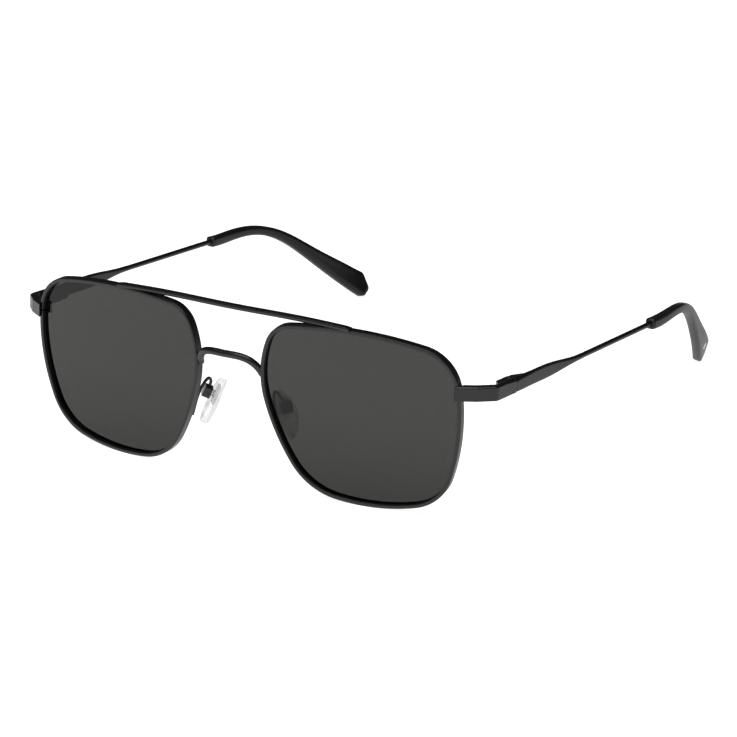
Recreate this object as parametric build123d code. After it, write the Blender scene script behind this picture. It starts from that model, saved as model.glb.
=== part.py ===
"""Aviator sunglasses: squared double-bridge metal frame, tinted lenses, three-barrel temple hinges.

All dimensions are millimetres.  The wearer looks along -Y, the wearer's left is +X and +Z is up.
The left half is built in a "front frame" in which the lens plane stands upright.  The right half is
its mirror image in X = 0.  Every piece is then leaned by LEAN and lifted, so that the sunglasses
stand on Z = 0 on the bottoms of their rims and the ends of their temple tips.
"""

import os
from math import cos, radians, sin, sqrt

from build123d import *

# ---- how the front frame sits in the standing frame ----
LEAN = 4.84
STAND_SHIFT = (0.0, -76.64, 23.792)

# ---- lenses and rims, in the lens's own plane: u towards the temple, v up ----
LENS_CENTRE_X = 37.35
LENS_WRAP = 7.1
LENS_SPHERE = 265.0
RIM_CORNERS = [(25.84, 19.67), (-23.66, 22.28), (-27.66, 4.97), (-15.46, -21.53), (21.46, -20.31)]
RIM_BULGES = [2.87, 1.44, 1.73, 3.04, 3.74]
RIM_CORNER_RADII = [11.93, 8.18, 26.69, 17.34, 14.0]
RIM_WIRE = 1.05
RIM_DEPTH = 2.4
RIM_EDGE_RADIUS = 0.22
OUTLINE_REACH = 15.0
GROOVE_FRONT = 1.30
GROOVE_BACK = 2.02
GROOVE_REACH = 0.45
LENS_FRONT = 1.15
LENS_BACK = 2.75
LENS_GAP = 0.04
TONGUE_FRONT = 1.34
TONGUE_BACK = 1.98
TONGUE_REACH = 0.38

# ---- bridges, in the front frame ----
BRIDGE_HALF_PATH = [(0.0, -3.3, 12.95), (4.5, -3.1, 12.85), (6.9, -2.45, 12.0), (8.5, -1.5, 10.35), (9.4, -0.5, 8.1)]
BRIDGE_RADIUS = 0.97
BROW_HALF_PATH = [(0.0, 24.35), (11.0, 24.46), (21.0, 24.54), (29.0, 24.40), (35.4, 24.21)]
BROW_HEIGHT = 1.2
BROW_DEPTH = 1.9
BROW_MIDDLE_Y = 1.30
BROW_END_TAPER = 1.6
BROW_END_DROP = 0.35
BROW_ROUNDING = 0.4
SOLDER_GAP = 0.01

# ---- temples: a frame whose +Y runs along the temple, tilted down towards the ear ----
TEMPLE_TILT = 8.01
TEMPLE_ORIGIN_Z = 11.62
OUTER_FACE_X = 71.95
HINGE_X = 69.66
HINGE_Y = 20.83

# ---- end piece and rim closure ----
STRIP_BOTTOM = -1.90
STRIP_TOP = 1.85
STRIP_BEVEL = 0.35
# plan of the strip: its outer side runs through the first five points, from the rim to the seam
SIDE_PLATE = 1.30
END_PIECE_PLAN = [
    (63.55, 3.75),
    (68.25, 7.05),
    (71.75, 10.70),
    (71.95, 11.60),
    (71.95, 20.80),
    (70.65, 20.80),
    (70.65, 12.60),
    (66.95, 8.75),
    (64.55, 7.10),
]
BLOCK_CENTRE = (65.45, 8.70)
BLOCK_SIZE = (2.8, 2.9)
BLOCK_ROUNDING = 1.1
BLOCK_TOP = 1.10
BLOCK_BOTTOM = -1.75
SLOT_LOW = -0.35
SLOT_HIGH = -0.05
SLOT_PLAN = ((60.0, 2.0), (67.2, 12.0))
RIM_SCREW_RADIUS = 0.45
RIM_SCREW_HEAD_RADIUS = 0.75
RIM_SCREW_HEAD = 0.55
RIM_SCREW_TIP = 0.80

# ---- hinge: three barrels round an upright screw ----
HINGE_HALF_HEIGHT = 1.75
BARREL_RADIUS = 0.95
KNUCKLE_RADIUS = 0.92
KNUCKLE_HALF_HEIGHT = 0.57
EAR_INNER = 0.60
HINGE_PIN_RADIUS = 0.45
HINGE_PIN_GAP = 0.04
PIN_HEAD_RADIUS = 0.72
PIN_HEAD_HEIGHT = 0.50
PIN_HEAD_BEVEL = 0.10
DRIVER_SLOT = 0.22
FRONT_LEAF_Y = (14.6, 19.35)
FRONT_LEAF_BEVEL = 1.2
REAR_LEAF_Y = (22.0, 23.4, 27.6)
REAR_LEAF_HALF_HEIGHT = 1.60

# ---- facets along the top outer edges beside the hinge: (y, how deep the facet is) ----
FRONT_FACET = ((20.80, 0.75), (10.0, 0.0))
REAR_FACET = ((20.86, 0.85), (34.0, 0.0))

# ---- temple bar: stations along the temple, (y, centre x, thickness, height, corner radius) ----
TEMPLE_STATIONS = [
    (20.86, 71.30, 1.30, 3.64, 0.20),
    (24.5, 71.30, 1.30, 3.70, 0.20),
    (34.0, 71.30, 1.30, 3.55, 0.28),
    (41.0, 71.33, 1.30, 3.22, 0.36),
    (46.0, 71.45, 1.34, 2.42, 0.40),
    (51.0, 71.60, 1.40, 1.66, 0.50),
    (56.0, 71.60, 1.44, 1.46, 0.66),
]
WIRE_LAP = 0.6
WIRE_RADIUS = 0.72
CORE_RADIUS = 0.60
CORE_GAP = 0.03
CORE_STOP = 0.82
BORE_STOP = 0.83

# ---- temple tip: centre line and rounded-rectangle sections along it ----
TIP_PATH = [
    (70.95, 96.5, 0.0),
    (70.45, 109.0, 0.15),
    (68.55, 121.3, -0.80),
    (65.30, 134.2, -6.70),
    (61.25, 147.6, -15.40),
    (56.60, 160.4, -23.40),
]
TIP_START_TANGENT = (-0.0164, 1.0, 0.0)
TIP_END_TANGENT = (-0.335, 0.81, -0.48)
# fraction of the path, thickness, height, corner radius, twist
TIP_STATIONS = [
    (0.0, 2.85, 2.90, 0.85, 0.0),
    (0.16, 2.85, 2.85, 0.85, 0.0),
    (0.30, 2.80, 2.70, 0.90, 0.0),
    (0.45, 2.80, 2.95, 0.90, 0.0),
    (0.60, 2.75, 3.70, 0.90, -1.0),
    (0.75, 2.75, 5.05, 0.90, -2.5),
    (0.90, 2.80, 6.50, 0.95, -5.0),
    (1.0, 2.80, 7.35, 0.95, -6.0),
]
TIP_BEYOND = 1.7
TIP_MOUTH_BEVEL = 0.5
# outline that trims the paddle's end: along the tip from the end of its centre line, and up
TIP_END_SHAPE = [(-20.0, 3.78), (-3.4, 3.70), (1.1, -0.47), (-0.2, -3.65), (-20.0, -3.78)]
TIP_END_RADII = (1.4, 1.3, 1.4)
TIP_END_TRIM = (22.0, 30.0)
TIP_END_TRIM_X = 0.0
INLAY_FRACTION = 0.92
INLAY_RADIUS = 1.05
INLAY_DEPTH = 0.45
INLAY_PROUD = 0.02

# ---- nose pads, in the front frame ----
PAD_PIVOT = (12.05, 5.85, -3.25)
PAD_UP = (-0.345, 0.28, 0.896)
PAD_FACING = (-0.80, 0.60, 0.0)
PAD_LENGTH = 13.2
PAD_WIDTH = 6.6
PAD_THICKNESS = 2.2
PAD_DROP = 1.9
PAD_BACK = 1.15
PAD_EDGE_RADIUS = 0.75
CORE_PLATE = (3.2, 5.0, 0.6)
CORE_PLATE_DEPTH = 0.8
STUD_WIDTH = 1.1
STUD_HEIGHT = 1.5
STUD_BACK = -0.55
STUD_ROUNDING = 0.5
BOX_OUTER = (2.9, 3.2)
BOX_SPAN = (-1.25, 0.78)
BOX_SLOT = 1.3
BOX_WALL_BACK = -0.85
BOX_ROOM = 2.3
BOX_ROUNDING = 0.6
PAD_SCREW_RADIUS = 0.32
PAD_SCREW_GAP = 0.04
ARM_RADIUS = 0.42
ARM_PATH = [
    (14.05, 1.10, -8.4),
    (12.45, 0.98, -3.9),
    (11.05, 1.95, -0.1),
    (10.25, 3.75, 1.55),
    (10.45, 5.05, 0.55),
    (11.15, 5.45, -1.15),
]


# ------------------------------------------------------------------ shared helpers
def lens_plane():
    """The plane of the left lens: x towards the temple, y up, z out of the front."""
    wrap = radians(LENS_WRAP)
    return Plane(
        origin=(LENS_CENTRE_X, 0, 0),
        x_dir=(cos(wrap), sin(wrap), 0),
        z_dir=(sin(wrap), -cos(wrap), 0),
    )


def temple_plane():
    """The left temple's frame: x outwards, y back along the temple."""
    tilt = radians(TEMPLE_TILT)
    return Plane(origin=(0, 0, TEMPLE_ORIGIN_Z), x_dir=(1, 0, 0), z_dir=(0, sin(tilt), cos(tilt)))


def box_between(low, high):
    """An axis-aligned box from its low corner to its high corner."""
    size = [b - a for a, b in zip(low, high)]
    return Pos(*low) * Box(*size, align=(Align.MIN, Align.MIN, Align.MIN))


def post(x, y, low, high, radius):
    """An upright cylinder between two heights."""
    return Pos(x, y, low) * Cylinder(radius, high - low, align=(Align.CENTER, Align.CENTER, Align.MIN))


def largest(shape):
    """The biggest solid of a shape."""
    return max(shape.solids(), key=lambda s: s.volume)


def side_circle(start, end, bulge):
    """Centre and radius of the arc from start to end that bows outwards by bulge."""
    a = Vector(*start)
    b = Vector(*end)
    chord = b - a
    outward = Vector(chord.Y, -chord.X).normalized()
    radius = (chord.length**2 / 4 + bulge**2) / (2 * bulge)
    return (a + b) * 0.5 - outward * (radius - bulge), radius


def corner_centre(first, second, radius, corner):
    """Centre of the circle of a given radius that touches two side circles from inside near a corner."""
    (a, radius_a), (b, radius_b) = first, second
    reach_a = radius_a - radius
    reach_b = radius_b - radius
    apart = (b - a).length
    along = (b - a).normalized()
    across_line = Vector(-along.Y, along.X)
    foot = (reach_a**2 - reach_b**2 + apart**2) / (2 * apart)
    height = sqrt(reach_a**2 - foot**2)
    options = [a + along * foot + across_line * side * height for side in (1, -1)]
    return min(options, key=lambda p: (p - Vector(*corner)).length)


def arc_about(centre, radius, start_way, end_way):
    """The short arc about a centre between two directions."""
    start_way = start_way.normalized()
    end_way = end_way.normalized()
    middle = (start_way + end_way).normalized()
    return ThreePointArc(centre + start_way * radius, centre + middle * radius, centre + end_way * radius)


def rim_outline(grow):
    """The rim's outline, grown by an amount, as a face: five side arcs joined by five corner arcs."""
    count = len(RIM_CORNERS)
    sides = []
    for i in range(count):
        sides.append(side_circle(RIM_CORNERS[i], RIM_CORNERS[(i + 1) % count], RIM_BULGES[i]))
    centres = []
    for i in range(count):
        centres.append(corner_centre(sides[i - 1], sides[i], RIM_CORNER_RADII[i], RIM_CORNERS[i]))
    arcs = []
    for i in range(count):
        before = sides[i - 1][0]
        here, radius = sides[i]
        corner = centres[i]
        arcs.append(arc_about(corner, RIM_CORNER_RADII[i] + grow, corner - before, corner - here))
        arcs.append(arc_about(here, radius + grow, corner - here, centres[(i + 1) % count] - here))
    return make_face(Wire(arcs).edges())


def outline_prism(grow):
    """The rim outline grown by an amount and extruded through the lens plane."""
    return extrude(rim_outline(grow), amount=OUTLINE_REACH, both=True)


def lens_shell(front, back):
    """The part of space between two depths behind the lens's spherical front."""
    # turned so that the sphere's poles and seam lie well away from the lens
    centre = Pos(0, 0, -LENS_SPHERE) * Rot(0, 90, 0)
    return centre * Sphere(LENS_SPHERE - front) - centre * Sphere(LENS_SPHERE - back)


def layer(grow, front, back):
    """A curved layer with the rim outline grown by an amount, between two depths."""
    return outline_prism(grow) & lens_shell(front, back)


def round_edges(shape, edges, radii):
    """Fillet edges with the first radius that works, or leave them sharp."""
    for radius in radii:
        try:
            result = fillet(edges, radius)
            if result.is_valid:
                return result
        except Exception:
            continue
    return shape


# ------------------------------------------------------------------ lenses and rims
def rim_body():
    """The eye wire before it is split: a curved ring with a groove inside for the lens."""
    ring = layer(0, 0, RIM_DEPTH) - outline_prism(-RIM_WIRE)
    ring = largest(ring)
    walls = ring.faces().filter_by(GeomType.SPHERE)
    ring = round_edges(ring, walls.edges(), (RIM_EDGE_RADIUS, RIM_EDGE_RADIUS / 2))
    return ring - layer(GROOVE_REACH - RIM_WIRE, GROOVE_FRONT, GROOVE_BACK)


def rim_slot():
    """The saw cut that lets the rim open for the lens."""
    low, high = SLOT_PLAN
    return temple_plane() * box_between((*low, SLOT_LOW), (*high, SLOT_HIGH))


def rim():
    """The left eye wire, split behind the end piece."""
    return lens_plane() * rim_body() - rim_slot()


def lens():
    """The left lens: a spherical disc with a tongue round its edge."""
    disc = layer(-RIM_WIRE - LENS_GAP, LENS_FRONT, LENS_BACK)
    tongue = layer(TONGUE_REACH - RIM_WIRE, TONGUE_FRONT, TONGUE_BACK)
    return lens_plane() * largest(disc + tongue)


# ------------------------------------------------------------------ bridges
def mirrored_path(half_path):
    """Half a path, starting on the middle plane, made into a whole list of points."""
    return [(-x, y, z) for x, y, z in reversed(half_path[1:])] + half_path


def both_rims_solid():
    """The space inside and including both rims' outlines, for trimming what is brazed to them."""
    solid = lens_plane() * layer(0, -SOLDER_GAP, RIM_DEPTH + SOLDER_GAP)
    return solid + mirror(solid, about=Plane.YZ)


def nose_bridge():
    """The lower bridge: a round wire bowed forward, whose rounded ends turn down and back onto the rims."""
    points = mirrored_path(BRIDGE_HALF_PATH)
    wire = wire_along(Spline(*points), BRIDGE_RADIUS)
    for end in (points[0], points[-1]):
        wire += Pos(*end) * Sphere(BRIDGE_RADIUS)
    return largest(wire - both_rims_solid())


def brow_bar():
    """The straight upper bar that lies on top of both rims."""
    curve = Spline(*mirrored_path([(x, 0, z) for x, z in BROW_HALF_PATH]))
    start = Plane(origin=curve @ 0, x_dir=(0, 1, 0), z_dir=curve % 0)
    bar = sweep(start * RectangleRounded(BROW_DEPTH, BROW_HEIGHT, BROW_ROUNDING), path=curve)
    end_x, end_z = BROW_HALF_PATH[-1]
    top = end_z + BROW_HEIGHT / 2
    profile = Polyline(
        (end_x - BROW_END_TAPER, top),
        (end_x, top - BROW_END_DROP),
        (end_x + BROW_END_TAPER, top - BROW_END_DROP),
        (end_x + BROW_END_TAPER, top + BROW_HEIGHT),
        (end_x - BROW_END_TAPER, top + BROW_HEIGHT),
        close=True,
    )
    wedge = Plane.XZ * extrude(make_face(profile), amount=BROW_DEPTH, both=True)
    bar = bar - wedge - mirror(wedge, about=Plane.YZ)
    return largest(Pos(0, BROW_MIDDLE_Y, 0) * bar - both_rims_solid())


# ------------------------------------------------------------------ end piece and rim closure
def top_facet(shape, facet, top):
    """Cut a slanting facet along the top outer edge, deepest at its first y and gone at its second."""
    (deep_y, depth), (far_y, _) = facet
    down = Vector(OUTER_FACE_X, deep_y, top - depth)
    inwards = Vector(OUTER_FACE_X - depth, deep_y, top)
    far = Vector(OUTER_FACE_X, far_y, top)
    normal = (inwards - down).cross(far - down)
    if normal.Z < 0:
        normal = normal * -1
    size = 2 * abs(far_y - deep_y)
    return shape - Plane(origin=down, z_dir=normal) * Pos(0, 0, size / 2) * Box(size, size, size)


def end_piece():
    """The L-shaped strip from the rim's front round the corner to the hinge seam."""
    plan = make_face(Polyline(*END_PIECE_PLAN, close=True))
    strip = Pos(0, 0, STRIP_BOTTOM) * extrude(plan, amount=STRIP_TOP - STRIP_BOTTOM)
    outer_side = [Vector(*point, STRIP_TOP) for point in END_PIECE_PLAN[:5]]
    outer_top = []
    for start, end in zip(outer_side, outer_side[1:]):
        middle = (start + end) * 0.5
        outer_top.append(min(strip.edges(), key=lambda e: (e.center() - middle).length))
    strip = temple_plane() * top_facet(chamfer(outer_top, STRIP_BEVEL), FRONT_FACET, STRIP_TOP)
    return largest(strip - lens_plane() * layer(0, 0, RIM_DEPTH) - lens_plane() * outline_prism(-RIM_WIRE))


def block_body(low, high):
    """One half of the closing block, trimmed to the rim and the end piece."""
    x, y = BLOCK_CENTRE
    half_x = BLOCK_SIZE[0] / 2
    half_y = BLOCK_SIZE[1] / 2
    block = box_between((x - half_x, y - half_y, low), (x + half_x, y + half_y, high))
    block = fillet(block.edges().filter_by(Axis.Z).sort_by(Axis.Y)[-2:], BLOCK_ROUNDING)
    block = temple_plane() * block
    return block - lens_plane() * layer(0, 0, RIM_DEPTH) - end_piece()


def closing_block_upper():
    """The half brazed to the end piece, threaded for the rim screw."""
    hole = temple_plane() * post(*BLOCK_CENTRE, SLOT_LOW, RIM_SCREW_TIP, RIM_SCREW_RADIUS)
    return largest(block_body(SLOT_HIGH, BLOCK_TOP) - hole)


def closing_block_lower():
    """The free half, with the hole and counterbore for the rim screw."""
    hole = post(*BLOCK_CENTRE, BLOCK_BOTTOM, SLOT_HIGH, RIM_SCREW_RADIUS)
    counterbore = post(*BLOCK_CENTRE, BLOCK_BOTTOM, BLOCK_BOTTOM + RIM_SCREW_HEAD, RIM_SCREW_HEAD_RADIUS)
    return largest(block_body(BLOCK_BOTTOM, SLOT_LOW) - temple_plane() * (hole + counterbore))


def driver_slot(x, y, z):
    """A screwdriver slot right across a screw head, centred on a height."""
    return Pos(x, y, z) * Box(4 * PIN_HEAD_RADIUS, DRIVER_SLOT, 2 * DRIVER_SLOT)


def rim_screw():
    """The small screw that closes the rim on the lens, head down."""
    head_top = BLOCK_BOTTOM + RIM_SCREW_HEAD
    shank = post(*BLOCK_CENTRE, BLOCK_BOTTOM, RIM_SCREW_TIP, RIM_SCREW_RADIUS)
    head = post(*BLOCK_CENTRE, BLOCK_BOTTOM, head_top, RIM_SCREW_HEAD_RADIUS)
    slot = driver_slot(*BLOCK_CENTRE, BLOCK_BOTTOM)
    return temple_plane() * (shank + head - slot)


# ------------------------------------------------------------------ hinge
def leaf(plan, half_height):
    """An upright plate from its plan."""
    return extrude(make_face(Polyline(*plan, close=True)), amount=half_height, both=True)


def front_hinge():
    """The front leaf, brazed inside the end piece, with the upper and lower barrels of the hinge."""
    inner_x = HINGE_X - BARREL_RADIUS
    plate_x = OUTER_FACE_X - SIDE_PLATE
    low_y, high_y = FRONT_LEAF_Y
    plan = [
        (plate_x, low_y),
        (plate_x, high_y),
        (inner_x, high_y),
        (inner_x, low_y + FRONT_LEAF_BEVEL),
        (inner_x + FRONT_LEAF_BEVEL, low_y),
    ]
    body = leaf(plan, HINGE_HALF_HEIGHT)
    for low, high in ((-HINGE_HALF_HEIGHT, -EAR_INNER), (EAR_INNER, HINGE_HALF_HEIGHT)):
        barrel = post(HINGE_X, HINGE_Y, low, high, BARREL_RADIUS)
        web = box_between((inner_x, high_y, low), (HINGE_X, HINGE_Y, high))
        body += barrel + web
    head_low = HINGE_HALF_HEIGHT - PIN_HEAD_HEIGHT
    bore = post(HINGE_X, HINGE_Y, -HINGE_HALF_HEIGHT, HINGE_HALF_HEIGHT, HINGE_PIN_RADIUS)
    counterbore = post(HINGE_X, HINGE_Y, head_low, HINGE_HALF_HEIGHT, PIN_HEAD_RADIUS)
    return temple_plane() * largest(body - bore - counterbore)


def hinge_screw():
    """The hinge's pivot screw, its head let into the top barrel."""
    head_low = HINGE_HALF_HEIGHT - PIN_HEAD_HEIGHT
    shank = post(HINGE_X, HINGE_Y, -HINGE_HALF_HEIGHT, HINGE_HALF_HEIGHT, HINGE_PIN_RADIUS)
    head = post(HINGE_X, HINGE_Y, head_low, HINGE_HALF_HEIGHT, PIN_HEAD_RADIUS)
    head = chamfer(head.edges().group_by(Axis.Z)[-1], PIN_HEAD_BEVEL)
    return temple_plane() * (shank + head - driver_slot(HINGE_X, HINGE_Y, HINGE_HALF_HEIGHT))


def rear_hinge():
    """The rear leaf, brazed inside the temple, with the middle barrel of the hinge."""
    inner_x = HINGE_X - BARREL_RADIUS
    plate_x = OUTER_FACE_X - SIDE_PLATE
    start_y, full_y, end_y = REAR_LEAF_Y
    plan = [(plate_x, start_y), (inner_x, start_y), (inner_x, full_y), (plate_x, end_y)]
    body = leaf(plan, REAR_LEAF_HALF_HEIGHT)
    knuckle = post(HINGE_X, HINGE_Y, -KNUCKLE_HALF_HEIGHT, KNUCKLE_HALF_HEIGHT, KNUCKLE_RADIUS)
    web = box_between(
        (HINGE_X - KNUCKLE_RADIUS, HINGE_Y, -KNUCKLE_HALF_HEIGHT),
        (plate_x, start_y, KNUCKLE_HALF_HEIGHT),
    )
    bore_radius = HINGE_PIN_RADIUS + HINGE_PIN_GAP
    bore = post(HINGE_X, HINGE_Y, -KNUCKLE_HALF_HEIGHT, KNUCKLE_HALF_HEIGHT, bore_radius)
    return temple_plane() * largest(body + knuckle + web - bore - temple_plate())


# ------------------------------------------------------------------ temple and tip
def wire_along(curve, radius):
    """A round wire along a curve."""
    return sweep(Plane(origin=curve @ 0, z_dir=curve % 0) * Circle(radius), path=curve)


def beyond(curve, fraction):
    """A block that covers the rest of a wire along a curve beyond a fraction of it."""
    size = curve.length
    end = Plane(origin=curve @ fraction, z_dir=curve % fraction)
    return end * Pos(0, 0, size / 2) * Box(size, size, size)


def tip_curve():
    """The centre line of the temple tip, in the temple's frame."""
    return Spline(*TIP_PATH, tangents=(TIP_START_TANGENT, TIP_END_TANGENT))


def temple_plate():
    """The flat front of the temple and its taper down to the wire."""
    sections = []
    for y, x, thickness, height, radius in TEMPLE_STATIONS:
        plane = Plane(origin=(x, y, 0), x_dir=(1, 0, 0), z_dir=(0, 1, 0))
        sections.append(plane * RectangleRounded(thickness, height, radius))
    return top_facet(loft(sections), REAR_FACET, TEMPLE_STATIONS[0][3] / 2)


def temple():
    """The metal temple: its plate, its wire, and the core that runs inside the tip."""
    wire_y, wire_x = TEMPLE_STATIONS[-1][:2]
    wire = wire_along(Line((wire_x, wire_y - WIRE_LAP, 0), TIP_PATH[0]), WIRE_RADIUS)
    curve = tip_curve()
    core = wire_along(curve, CORE_RADIUS) - beyond(curve, CORE_STOP)
    return temple_plane() * largest(temple_plate() + wire + core)


def tip_section_plane(curve, fraction, twist):
    """The plane of a tip section: x out of the tip's outer face, z along the tip."""
    along = curve % fraction
    outward = Vector(1, 0, 0)
    outward = (outward - along * outward.dot(along)).normalized()
    up = along.cross(outward) * -1
    angle = radians(twist)
    facing = outward * cos(angle) + up * sin(angle)
    return Plane(origin=curve @ fraction, x_dir=facing, z_dir=along)


def tip_face_plane(curve, fraction):
    """The paddle's own plane: x along the tip, y towards its upper edge, z out of its outer face."""
    section = tip_section_plane(curve, fraction, TIP_STATIONS[-1][4])
    return Plane(origin=curve @ fraction, x_dir=section.z_dir, z_dir=section.x_dir)


def tip_end_trim(curve):
    """What is cut away to round the paddle's end."""
    keep = make_face(Polyline(*TIP_END_SHAPE, close=True))
    for corner, radius in zip(TIP_END_SHAPE[1:4], TIP_END_RADII):
        vertex = min(keep.vertices(), key=lambda v: (Vector(v) - Vector(*corner)).length)
        keep = fillet(vertex, radius)
    outside = Pos(TIP_END_TRIM_X) * Rectangle(*TIP_END_TRIM) - keep
    return extrude(tip_face_plane(curve, 1.0) * outside, amount=TIP_END_TRIM[0] / 2, both=True)


def tip_solid():
    """The outside shape of the temple tip."""
    curve = tip_curve()
    sections = []
    for fraction, thickness, height, radius, twist in TIP_STATIONS:
        plane = tip_section_plane(curve, fraction, twist)
        sections.append(plane * RectangleRounded(thickness, height, radius))
    body = loft(sections) + extrude(sections[-1], amount=TIP_BEYOND)
    mouth = body.faces().sort_by(Axis.Y)[0]
    body = chamfer(mouth.edges(), TIP_MOUTH_BEVEL)
    return largest(body - tip_end_trim(curve))


def inlay_solid(height):
    """The round inlay in the outer face of the tip, up to a height above its seat."""
    curve = tip_curve()
    seat = TIP_STATIONS[-2][1] / 2 - INLAY_DEPTH
    return tip_face_plane(curve, INLAY_FRACTION) * Pos(0, 0, seat) * Cylinder(
        INLAY_RADIUS, height, align=(Align.CENTER, Align.CENTER, Align.MIN)
    )


def temple_tip():
    """The acetate tip, bored for the temple's core and recessed for the inlay."""
    curve = tip_curve()
    bore = wire_along(curve, CORE_RADIUS + CORE_GAP) - beyond(curve, BORE_STOP)
    recess = inlay_solid(2 * INLAY_DEPTH)
    return temple_plane() * largest(tip_solid() - bore - recess)


def tip_inlay():
    """The small round inlay near the end of the tip."""
    return temple_plane() * inlay_solid(INLAY_DEPTH + INLAY_PROUD)


# ------------------------------------------------------------------ nose pads
def pad_plane():
    """The pad's frame at its pivot: x across the pad, y up the pad, z out of the bearing face."""
    up = Vector(*PAD_UP).normalized()
    facing = Vector(*PAD_FACING)
    facing = (facing - up * facing.dot(up)).normalized()
    return Plane(origin=PAD_PIVOT, x_dir=up.cross(facing), z_dir=facing)


def pad_blank():
    """The pad's outside: a teardrop slab with rounded edges."""
    half = PAD_LENGTH / 2
    wide = PAD_WIDTH / 2
    outline = Spline(
        (0, half),
        (-wide * 0.80, half * 0.45),
        (-wide, -half * 0.30),
        (0, -half),
        (wide, -half * 0.30),
        (wide * 0.80, half * 0.45),
        periodic=True,
    )
    slab = Pos(0, -PAD_DROP, PAD_BACK) * extrude(make_face(outline), amount=PAD_THICKNESS)
    ends = slab.edges().group_by(Axis.Z)
    return round_edges(slab, ends[0] + ends[-1], (PAD_EDGE_RADIUS, PAD_EDGE_RADIUS / 2))


def stud():
    """The post that stands out of the pad's back into the box."""
    low_corner = (-STUD_WIDTH / 2, -STUD_HEIGHT / 2, STUD_BACK)
    high_corner = (STUD_WIDTH / 2, STUD_HEIGHT / 2, PAD_BACK + CORE_PLATE_DEPTH)
    body = box_between(low_corner, high_corner)
    return fillet(body.edges().filter_by(Axis.X).sort_by(Axis.Z)[:2], STUD_ROUNDING)


def core_plate():
    """The plate moulded inside the pad."""
    width, length, thickness = CORE_PLATE
    return Pos(0, 0, PAD_BACK + CORE_PLATE_DEPTH + thickness / 2) * Box(width, length, thickness)


def across(radius, half_length):
    """A cylinder along the pad's rocking axis."""
    return Rot(0, 90, 0) * Cylinder(radius, 2 * half_length)


def nose_pad():
    """The clear silicone pad."""
    return pad_plane() * largest(pad_blank() - core_plate() - stud())


def pad_core():
    """The insert inside the pad, with its pierced stud."""
    return pad_plane() * (core_plate() + stud() - across(PAD_SCREW_RADIUS + PAD_SCREW_GAP, STUD_WIDTH))


def box_blank():
    """The pad box before it is rounded and hollowed."""
    width, length = BOX_OUTER
    low, high = BOX_SPAN
    return box_between((-width / 2, -length / 2, low), (width / 2, length / 2, high))


def pad_box():
    """The little box on the pad arm that holds the stud."""
    body = box_blank()
    body = fillet(body.edges().filter_by(Axis.Z), BOX_ROUNDING)
    mouth = 2 * BOX_SPAN[1]
    room = box_between((-BOX_SLOT / 2, -BOX_ROOM / 2, BOX_WALL_BACK), (BOX_SLOT / 2, BOX_ROOM / 2, mouth))
    return pad_plane() * (body - room - across(PAD_SCREW_RADIUS, BOX_OUTER[0]))


def pad_screw():
    """The cross screw the pad rocks on."""
    return pad_plane() * across(PAD_SCREW_RADIUS, BOX_OUTER[0] / 2)


def pad_arm():
    """The wire that carries the box, brazed to the back of the rim."""
    wire = wire_along(Spline(*ARM_PATH), ARM_RADIUS)
    return largest(wire - lens_plane() * layer(0, 0, RIM_DEPTH) - pad_plane() * box_blank())


# ------------------------------------------------------------------ the whole pair
def stand(shape):
    """Move a piece from the front frame to the standing frame."""
    return Pos(*STAND_SHIFT) * Rot(LEAN, 0, 0) * shape


MIDDLE_PIECES = {"nose_bridge": nose_bridge, "brow_bar": brow_bar}

SIDE_PIECES = {
    "rim": rim,
    "lens": lens,
    "end_piece": end_piece,
    "closing_block_upper": closing_block_upper,
    "closing_block_lower": closing_block_lower,
    "rim_screw": rim_screw,
    "front_hinge": front_hinge,
    "hinge_screw": hinge_screw,
    "rear_hinge": rear_hinge,
    "temple": temple,
    "temple_tip": temple_tip,
    "tip_inlay": tip_inlay,
    "pad_arm": pad_arm,
    "pad_box": pad_box,
    "pad_screw": pad_screw,
    "pad_core": pad_core,
    "nose_pad": nose_pad,
}


def save(shape, name):
    """Write one piece, standing, as a STEP file."""
    export_step(stand(shape), "parts/" + name + ".step")


def main():
    """Build and save every piece."""
    os.makedirs("parts", exist_ok=True)
    for name, make in MIDDLE_PIECES.items():
        save(make(), name)
    for name, make in SIDE_PIECES.items():
        left = make()
        save(left, name + "_left")
        save(mirror(left, about=Plane.YZ), name + "_right")


main()
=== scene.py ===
"""Squared double-bridge aviator sunglasses: materials, light and camera.

Everything is in metres in the CAD frame: X = 0 is the mirror plane between the lenses, the wearer looks
along -Y, the wearer's left is +X, and the sunglasses stand on Z = 0.
"""

from math import cos, radians, sin

import bpy
from mathutils import Matrix, Vector

SIDES = ("left", "right")

# ---- camera: angles in degrees, with azimuth 0 looking along +Y; lens and sensor in millimetres ----
CAMERA_AZIMUTH = 31.050
CAMERA_ELEVATION = 18.408
CAMERA_ROLL = 0.640
CAMERA_DISTANCE = 0.92659
CAMERA_TARGET = (0.02863, -0.05717, 0.03090)
CAMERA_LENS = 175.92
CAMERA_SENSOR = 36.0

# ---- floor: slightly mottled white paper to the camera; glossy finishes mirror a separate glow ----
FLOOR_HALF = 6.0
FLOOR_GLOW = 0.92
FLOOR_WHITE = 0.80
FLOOR_MOTTLE = 0.99
MIRRORED_FRONT_TO_BACK = (-0.16, 0.10)
MIRRORED_STRENGTH = (1.30, 0.55)
MIRRORED_FADE = (0.2, 1.4)
MIRRORED_FAR = 0.45

# ---- room: its mirrored strength goes from dark to front over this stretch of a direction's Y ----
ROOM_SPREAD = (0.1, -0.9)
ROOM_DARK = 0.04
ROOM_FRONT = 0.30

# ---- the one lamp, a softbox overhead ----
SOFTBOX_PLACE = (0.1, -0.35, 1.1)
SOFTBOX_SIZE = (1.2, 0.9)
SOFTBOX_WATTS = 9.0
SOFTBOX_AIM = (0.0, 0.0, 0.02)

# ---- how far the soft edges and the rubbed edges reach, in metres ----
FRAME_CROWN = 0.00045
TEMPLE_CROWN = 0.00085
ACETATE_CROWN = 0.0013
PAINT_RUB = 0.00018
SCREW_RUB = 0.00008

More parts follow.
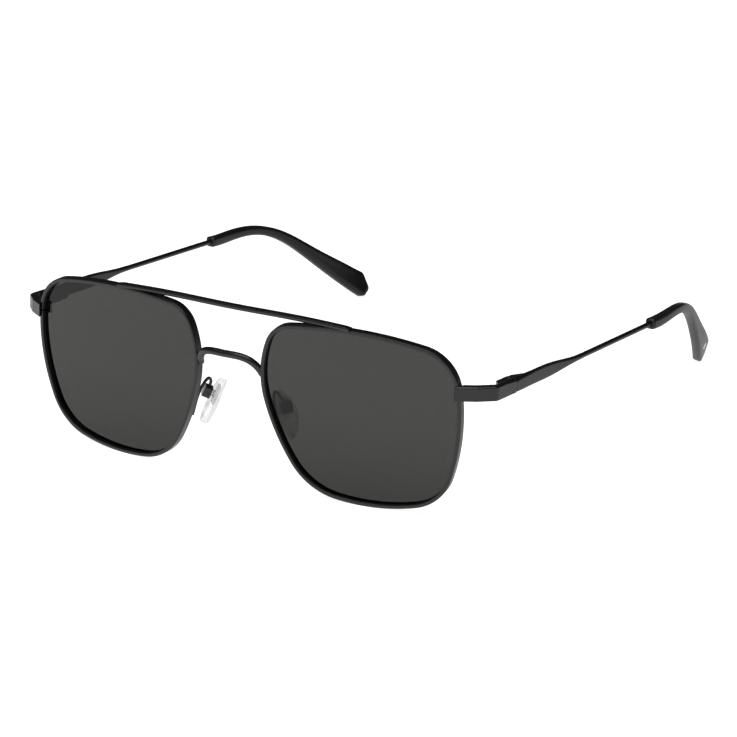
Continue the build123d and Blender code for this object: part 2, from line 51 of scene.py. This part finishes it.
# ---- rays that look for a soft edge at each point ----
CROWN_SAMPLES = 8

# ---- colours, linear; a pair is what a finish varies between ----
WHITE = (1.0, 1.0, 1.0)
PAINT = ((0.0035, 0.0035, 0.0037), (0.0065, 0.0065, 0.0068))
RUBBED_PAINT = (0.045, 0.045, 0.047)
# the lens tints: the darker one is painted shade for the bottom of the lens, the paler one is for the top
LENS_TINT_WITH_PAINTED_SHADE = ((0.158, 0.158, 0.153), (0.184, 0.184, 0.177))
LENS_MIRROR = (1.0, 1.0, 0.98)
ACETATE = ((0.0035, 0.0035, 0.0036), (0.010, 0.010, 0.0105))
STEEL = (0.03, 0.03, 0.032)
BARE_STEEL = (0.20, 0.20, 0.205)
ALUMINIUM = ((0.84, 0.84, 0.845), (0.92, 0.92, 0.925))
MILKY_CORE = ((0.62, 0.63, 0.64), (0.78, 0.79, 0.80))
MILKY_SILICONE = (0.66, 0.67, 0.67)
THROUGH_CORE = (0.93, 0.93, 0.93)
# the see-through silicone: clear where it faces the view, painted edge shade where it turns away
THROUGH_SILICONE_WITH_PAINTED_EDGE_SHADE = ((0.955, 0.955, 0.955), (0.62, 0.62, 0.62))

# ---- refractive indices, which set how strongly a finish mirrors ----
PAINT_IOR = 1.5
LENS_IOR = 1.5
ACETATE_IOR = 1.47
SILICONE_IOR = 1.41

# ---- shares of the whole: a lens's mirroring that is left, the rub's colour, and the core's milkiness ----
LENS_MIRROR_SHARE = 0.55
RUB_SHARE = 0.5
CORE_MILKY_SHARE = 0.45

# ---- the heights between which a lens goes from its darker tint, painted shade low down, to its paler one ----
LENS_PAINTED_SHADE_HEIGHTS = (0.002, 0.024)

# ---- where most values of a noise lie ----
NOISE_SPREAD = (0.3, 0.7)

# ---- which CAD nodes take which finish ----
COATED = ("rim", "end_piece", "closing_block_upper", "closing_block_lower", "front_hinge",
          "rear_hinge", "pad_arm", "pad_box")
COATED_MIDDLE = ("nose_bridge", "brow_bar")
SCREWS = ("rim_screw", "hinge_screw", "pad_screw")


# ------------------------------------------------------------------ node helpers
class Nodes:
    """A node tree, emptied, with short ways to add and join nodes."""

    def __init__(self, tree):
        self.tree = tree
        self.tree.nodes.clear()

    def add(self, kind, **settings):
        """A new node with its settings."""
        node = self.tree.nodes.new(kind)
        for key, value in settings.items():
            setattr(node, key, value)
        return node

    def join(self, source, target):
        """A link from an output to an input."""
        self.tree.links.new(source, target)

    def feed(self, value, target):
        """Give an input a colour, a number or another node's output."""
        if isinstance(value, tuple):
            target.default_value = (*value, 1.0)
        elif isinstance(value, (int, float)):
            target.default_value = value
        else:
            self.join(value, target)

    def coordinate(self, vector, axis):
        """One coordinate of a vector."""
        node = self.add("ShaderNodeSeparateXYZ")
        self.join(vector, node.inputs["Vector"])
        return node.outputs[axis]

    def remap(self, value, spread, out=(0.0, 1.0)):
        """A value moved from one range to another and clamped."""
        node = self.add("ShaderNodeMapRange")
        names = ("From Min", "From Max", "To Min", "To Max")
        for name, limit in zip(names, (*spread, *out)):
            node.inputs[name].default_value = limit
        self.join(value, node.inputs["Value"])
        return node.outputs["Result"]

    def mix(self, factor, first, second):
        """Two surfaces or backgrounds mixed by a factor."""
        node = self.add("ShaderNodeMixShader")
        self.feed(factor, node.inputs["Fac"])
        self.join(first, node.inputs[1])
        self.join(second, node.inputs[2])
        return node.outputs["Shader"]


class Shader(Nodes):
    """A material's node tree, with the steps that finishes are made of."""

    def __init__(self, name):
        self.material = bpy.data.materials.new(name)
        self.material.use_nodes = True
        super().__init__(self.material.node_tree)
        self.output = self.add("ShaderNodeOutputMaterial")

    def position(self):
        """The point being shaded, in metres in the piece's own frame."""
        return self.add("ShaderNodeTexCoord").outputs["Object"]

    def noise(self, scale, detail=2.0, stretch=None):
        """Noise whose features are about 1 / scale metres across, and longer where stretch is under 1."""
        node = self.add("ShaderNodeTexNoise")
        node.inputs["Scale"].default_value = scale
        node.inputs["Detail"].default_value = detail
        where = self.position()
        if stretch:
            mapping = self.add("ShaderNodeMapping")
            mapping.inputs["Scale"].default_value = stretch
            self.join(where, mapping.inputs["Vector"])
            where = mapping.outputs["Vector"]
        self.join(where, node.inputs["Vector"])
        return node.outputs["Fac"]

    def maths(self, operation, first, second):
        """One arithmetic step; either side is a socket or a number."""
        node = self.add("ShaderNodeMath", operation=operation)
        for socket, value in zip(node.inputs, (first, second)):
            self.feed(value, socket)
        return node.outputs["Value"]

    def blend(self, factor, first, second):
        """Two colours mixed by a factor."""
        node = self.add("ShaderNodeMix", data_type="RGBA")
        self.join(factor, node.inputs["Factor"])
        self.feed(first, node.inputs["A"])
        self.feed(second, node.inputs["B"])
        return node.outputs["Result"]

    def bump(self, height, depth, strength=1.0, after=None):
        """A bumped normal from a height between 0 and 1 and a depth in metres."""
        node = self.add("ShaderNodeBump")
        node.inputs["Strength"].default_value = strength
        node.inputs["Distance"].default_value = depth
        self.join(height, node.inputs["Height"])
        if after is not None:
            self.join(after, node.inputs["Normal"])
        return node.outputs["Normal"]

    def crowned(self, radius):
        """The surface's normal, softened within a radius of each edge."""
        bevel = self.add("ShaderNodeBevel", samples=CROWN_SAMPLES)
        bevel.inputs["Radius"].default_value = radius
        return bevel.outputs["Normal"]

    def edge(self, radius):
        """How far the softened normal leans away from its face: 0 on the flat, more near an edge."""
        geometry = self.add("ShaderNodeNewGeometry")
        dot = self.add("ShaderNodeVectorMath", operation="DOT_PRODUCT")
        self.join(self.crowned(radius), dot.inputs[0])
        self.join(geometry.outputs["Normal"], dot.inputs[1])
        return self.maths("SUBTRACT", 1.0, dot.outputs["Value"])

    def see_through(self, colour):
        """A surface that light crosses without bending, tinted by a colour."""
        node = self.add("ShaderNodeBsdfTransparent")
        self.feed(colour, node.inputs["Color"])
        return node.outputs["BSDF"]

    def principled(self, **values):
        """A Principled surface; each value is a number, a colour or a socket."""
        node = self.add("ShaderNodeBsdfPrincipled")
        for key, value in values.items():
            self.feed(value, node.inputs[key.replace("_", " ")])
        return node.outputs["BSDF"]

    def finish(self, surface):
        """The material, with this surface."""
        self.join(surface, self.output.inputs["Surface"])
        return self.material


# ------------------------------------------------------------------ materials
def satin_black_coating(name, crown):
    """Thin satin black paint on metal: fine orange peel, uneven sheen, edges rubbed a little brighter."""
    s = Shader(name)
    patches = s.noise(scale=260.0, detail=3.0)
    peel = s.noise(scale=3400.0)
    dust = s.noise(scale=9000.0, detail=1.0)
    rubbed = s.remap(s.edge(PAINT_RUB), (0.04, 0.35))
    worn = s.maths("MULTIPLY", rubbed, s.remap(patches, (0.45, 0.7), out=(0.1, 1.0)))
    body = s.blend(s.remap(patches, NOISE_SPREAD), *PAINT)
    colour = s.blend(s.maths("MULTIPLY", worn, RUB_SHARE), body, RUBBED_PAINT)
    sheen = s.remap(patches, NOISE_SPREAD, out=(0.24, 0.33))
    dulled = s.remap(dust, (0.4, 0.7), out=(0.0, 0.05))
    roughness = s.maths("ADD", sheen, dulled)
    peeled = s.bump(peel, depth=0.000006, strength=0.5, after=s.crowned(crown))
    normal = s.bump(dust, depth=0.000003, strength=0.4, after=peeled)
    return s.finish(s.principled(Base_Color=colour, Roughness=roughness, IOR=PAINT_IOR, Normal=normal))


def grey_lens():
    """Grey tinted lens: it lets through a little light, with painted shade making it darker near the bottom,
    and mirrors faintly.
    """
    s = Shader("grey_lens")
    # painted shade: the tint darkens towards the bottom of the lens
    height = s.remap(s.coordinate(s.position(), "Z"), LENS_PAINTED_SHADE_HEIGHTS)
    clear = s.see_through(s.blend(height, *LENS_TINT_WITH_PAINTED_SHADE))
    smears = s.noise(scale=140.0, detail=4.0, stretch=(1.0, 1.0, 0.45))
    gloss = s.add("ShaderNodeBsdfGlossy")
    s.feed(LENS_MIRROR, gloss.inputs["Color"])
    s.join(s.remap(smears, (0.42, 0.68), out=(0.010, 0.035)), gloss.inputs["Roughness"])
    s.join(s.bump(smears, depth=0.000002, strength=0.1), gloss.inputs["Normal"])
    fresnel = s.add("ShaderNodeFresnel")
    fresnel.inputs["IOR"].default_value = LENS_IOR
    outside = s.maths("SUBTRACT", 1.0, s.add("ShaderNodeNewGeometry").outputs["Backfacing"])
    mirroring = s.maths("MULTIPLY", fresnel.outputs["Fac"], LENS_MIRROR_SHARE)
    return s.finish(s.mix(s.maths("MULTIPLY", mirroring, outside), clear, gloss.outputs["BSDF"]))


def black_acetate():
    """Polished black acetate: deep body, faint marbling, soft tumbled gloss with fine hairline scratches."""
    s = Shader("black_acetate")
    marble = s.noise(scale=90.0, detail=4.0, stretch=(1.0, 0.3, 1.0))
    hairlines = s.noise(scale=2600.0, stretch=(1.0, 0.08, 1.0))
    colour = s.blend(s.remap(marble, (0.35, 0.7)), *ACETATE)
    gloss = s.remap(marble, NOISE_SPREAD, out=(0.20, 0.27))
    scratched = s.remap(hairlines, (0.55, 0.75), out=(0.0, 0.08))
    roughness = s.maths("ADD", gloss, scratched)
    normal = s.bump(hairlines, depth=0.000004, strength=0.3, after=s.crowned(ACETATE_CROWN))
    return s.finish(s.principled(Base_Color=colour, Roughness=roughness, IOR=ACETATE_IOR, Normal=normal))


def blackened_steel():
    """Blackened steel screws: a fine grain, and a little bare metal on the edges."""
    s = Shader("blackened_steel")
    grain = s.noise(scale=7000.0, stretch=(1.0, 1.0, 0.2))
    colour = s.blend(s.remap(s.edge(SCREW_RUB), (0.03, 0.3)), STEEL, BARE_STEEL)
    roughness = s.remap(grain, NOISE_SPREAD, out=(0.24, 0.42))
    normal = s.bump(grain, depth=0.000004, strength=0.4)
    return s.finish(s.principled(Base_Color=colour, Metallic=0.9, Roughness=roughness, Normal=normal))


def pale_inlay():
    """Satin aluminium inlay with a fine grain."""
    s = Shader("pale_inlay")
    grain = s.noise(scale=8000.0)
    colour = s.blend(s.remap(grain, NOISE_SPREAD), *ALUMINIUM)
    roughness = s.remap(grain, NOISE_SPREAD, out=(0.3, 0.45))
    return s.finish(s.principled(Base_Color=colour, Metallic=0.15, Roughness=roughness))


def moulded_core():
    """Milky moulded insert inside the nose pad."""
    s = Shader("moulded_core")
    cloud = s.noise(scale=1200.0, detail=3.0)
    colour = s.blend(s.remap(cloud, NOISE_SPREAD), *MILKY_CORE)
    milky = s.principled(Base_Color=colour, Roughness=s.remap(cloud, NOISE_SPREAD, out=(0.35, 0.5)))
    return s.finish(s.mix(CORE_MILKY_SHARE, s.see_through(THROUGH_CORE), milky))


def clear_silicone():
    """Clear silicone: light passes almost straight through, with cloudy patches, and painted shade darkens
    the edges that turn away from the view.
    """
    s = Shader("clear_silicone")
    cloud = s.noise(scale=420.0, detail=3.0)
    normal = s.bump(s.noise(scale=1500.0), depth=0.00002, strength=0.5)
    facing = s.add("ShaderNodeLayerWeight")
    facing.inputs["Blend"].default_value = 0.35
    s.join(normal, facing.inputs["Normal"])
    # painted shade: the see-through colour darkens where the surface turns away from the view
    edge = s.remap(facing.outputs["Facing"], (0.20, 0.90))
    clear = s.see_through(s.blend(edge, *THROUGH_SILICONE_WITH_PAINTED_EDGE_SHADE))
    milky = s.principled(Base_Color=MILKY_SILICONE, Roughness=0.25, IOR=SILICONE_IOR, Normal=normal)
    return s.finish(s.mix(s.remap(cloud, (0.35, 0.7), out=(0.08, 0.30)), clear, milky))


def studio_floor():
    """White paper, lit a little from inside so that shadows stay faint.

    Mirrored in a glossy finish it is a plain glow instead: it weakens from front to back and away from
    the middle.
    """
    s = Shader("studio_floor")
    colour = s.blend(s.noise(scale=35.0, detail=3.0), (FLOOR_WHITE,) * 3, (FLOOR_WHITE * FLOOR_MOTTLE,) * 3)
    paper = s.principled(Base_Color=colour, Roughness=0.9, Specular_IOR_Level=0.0,
                         Emission_Color=WHITE, Emission_Strength=FLOOR_GLOW)
    distance = s.add("ShaderNodeVectorMath", operation="LENGTH")
    s.join(s.position(), distance.inputs[0])
    near = s.remap(s.coordinate(s.position(), "Y"), MIRRORED_FRONT_TO_BACK, out=MIRRORED_STRENGTH)
    fade = s.remap(distance.outputs["Value"], MIRRORED_FADE, out=(1.0, MIRRORED_FAR))
    mirrored = s.add("ShaderNodeEmission")
    s.join(s.maths("MULTIPLY", near, fade), mirrored.inputs["Strength"])
    is_mirrored = s.add("ShaderNodeLightPath").outputs["Is Glossy Ray"]
    return s.finish(s.mix(is_mirrored, paper, mirrored.outputs["Emission"]))


def paint(node, material):
    """Give a CAD node one finish."""
    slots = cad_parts[node].data.materials
    slots.clear()
    slots.append(material)


def paint_everything():
    """Give every CAD node its finish."""
    coating = satin_black_coating("satin_black_coating", FRAME_CROWN)
    finishes = {"temple": satin_black_coating("satin_black_temple_coating", TEMPLE_CROWN),
                "lens": grey_lens(), "temple_tip": black_acetate(), "tip_inlay": pale_inlay(),
                "pad_core": moulded_core(), "nose_pad": clear_silicone()}
    finishes.update(dict.fromkeys(COATED, coating))
    finishes.update(dict.fromkeys(SCREWS, blackened_steel()))
    for kind, material in finishes.items():
        for side in SIDES:
            paint(f"{kind}_{side}", material)
    for node in COATED_MIDDLE:
        paint(node, coating)


# ------------------------------------------------------------------ studio
def floor():
    """A wide white floor under the sunglasses."""
    mesh = bpy.data.meshes.new("floor")
    corners = [(x * FLOOR_HALF, y * FLOOR_HALF, 0.0) for x, y in ((-1, -1), (1, -1), (1, 1), (-1, 1))]
    mesh.from_pydata(corners, [], [(0, 1, 2, 3)])
    ground = bpy.data.objects.new("floor", mesh)
    bpy.context.scene.collection.objects.link(ground)
    mesh.materials.append(studio_floor())


def softbox():
    """A wide area light overhead, aimed at the sunglasses."""
    light = bpy.data.lights.new("overhead", "AREA")
    light.shape = "RECTANGLE"
    light.size, light.size_y = SOFTBOX_SIZE
    light.energy = SOFTBOX_WATTS
    lamp = bpy.data.objects.new("overhead", light)
    lamp.location = SOFTBOX_PLACE
    towards = Vector(SOFTBOX_AIM) - Vector(SOFTBOX_PLACE)
    lamp.rotation_euler = towards.to_track_quat("-Z", "Y").to_euler()
    bpy.context.scene.collection.objects.link(lamp)


def room():
    """The room: plain white to the camera; mirrored, it is dark above and behind and paler in front."""
    world = bpy.data.worlds.new("room")
    bpy.context.scene.world = world
    world.use_nodes = True
    w = Nodes(world.node_tree)
    direction = w.add("ShaderNodeTexCoord").outputs["Generated"]
    mirrored = w.add("ShaderNodeBackground")
    strength = w.remap(w.coordinate(direction, "Y"), ROOM_SPREAD, out=(ROOM_DARK, ROOM_FRONT))
    w.join(strength, mirrored.inputs["Strength"])
    seen = w.add("ShaderNodeBackground")
    w.feed(WHITE, seen.inputs["Color"])
    is_seen = w.add("ShaderNodeLightPath").outputs["Is Camera Ray"]
    surface = w.mix(is_seen, mirrored.outputs["Background"], seen.outputs["Background"])
    w.join(surface, w.add("ShaderNodeOutputWorld").inputs["Surface"])


def camera():
    """The camera, from its direction, distance, roll and target."""
    azimuth = radians(CAMERA_AZIMUTH)
    elevation = radians(CAMERA_ELEVATION)
    roll = radians(CAMERA_ROLL)
    back = Vector((sin(azimuth) * cos(elevation), -cos(azimuth) * cos(elevation), sin(elevation)))
    level_right = Vector((cos(azimuth), sin(azimuth), 0.0))
    level_up = back.cross(level_right)
    right = level_right * cos(roll) + level_up * sin(roll)
    up = level_up * cos(roll) - level_right * sin(roll)
    data = bpy.data.cameras.new("camera")
    data.lens = CAMERA_LENS
    data.sensor_width = CAMERA_SENSOR
    eye = bpy.data.objects.new("camera", data)
    place = Vector(CAMERA_TARGET) + back * CAMERA_DISTANCE
    axes = Matrix((right, up, back)).transposed().to_4x4()
    eye.matrix_world = Matrix.Translation(place) @ axes
    bpy.context.scene.collection.objects.link(eye)
    bpy.context.scene.camera = eye


def studio():
    """Floor, room, light and camera."""
    floor()
    room()
    softbox()
    camera()
    bpy.context.scene.view_settings.view_transform = "Standard"


# ------------------------------------------------------------------ everything
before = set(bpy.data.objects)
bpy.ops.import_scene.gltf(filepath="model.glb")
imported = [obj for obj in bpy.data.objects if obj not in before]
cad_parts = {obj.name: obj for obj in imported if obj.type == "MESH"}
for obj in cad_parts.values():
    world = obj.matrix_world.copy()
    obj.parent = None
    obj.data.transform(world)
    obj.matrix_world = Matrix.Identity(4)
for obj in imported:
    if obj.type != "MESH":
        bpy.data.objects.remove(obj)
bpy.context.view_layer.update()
paint_everything()
studio()
bpy.context.view_layer.update()
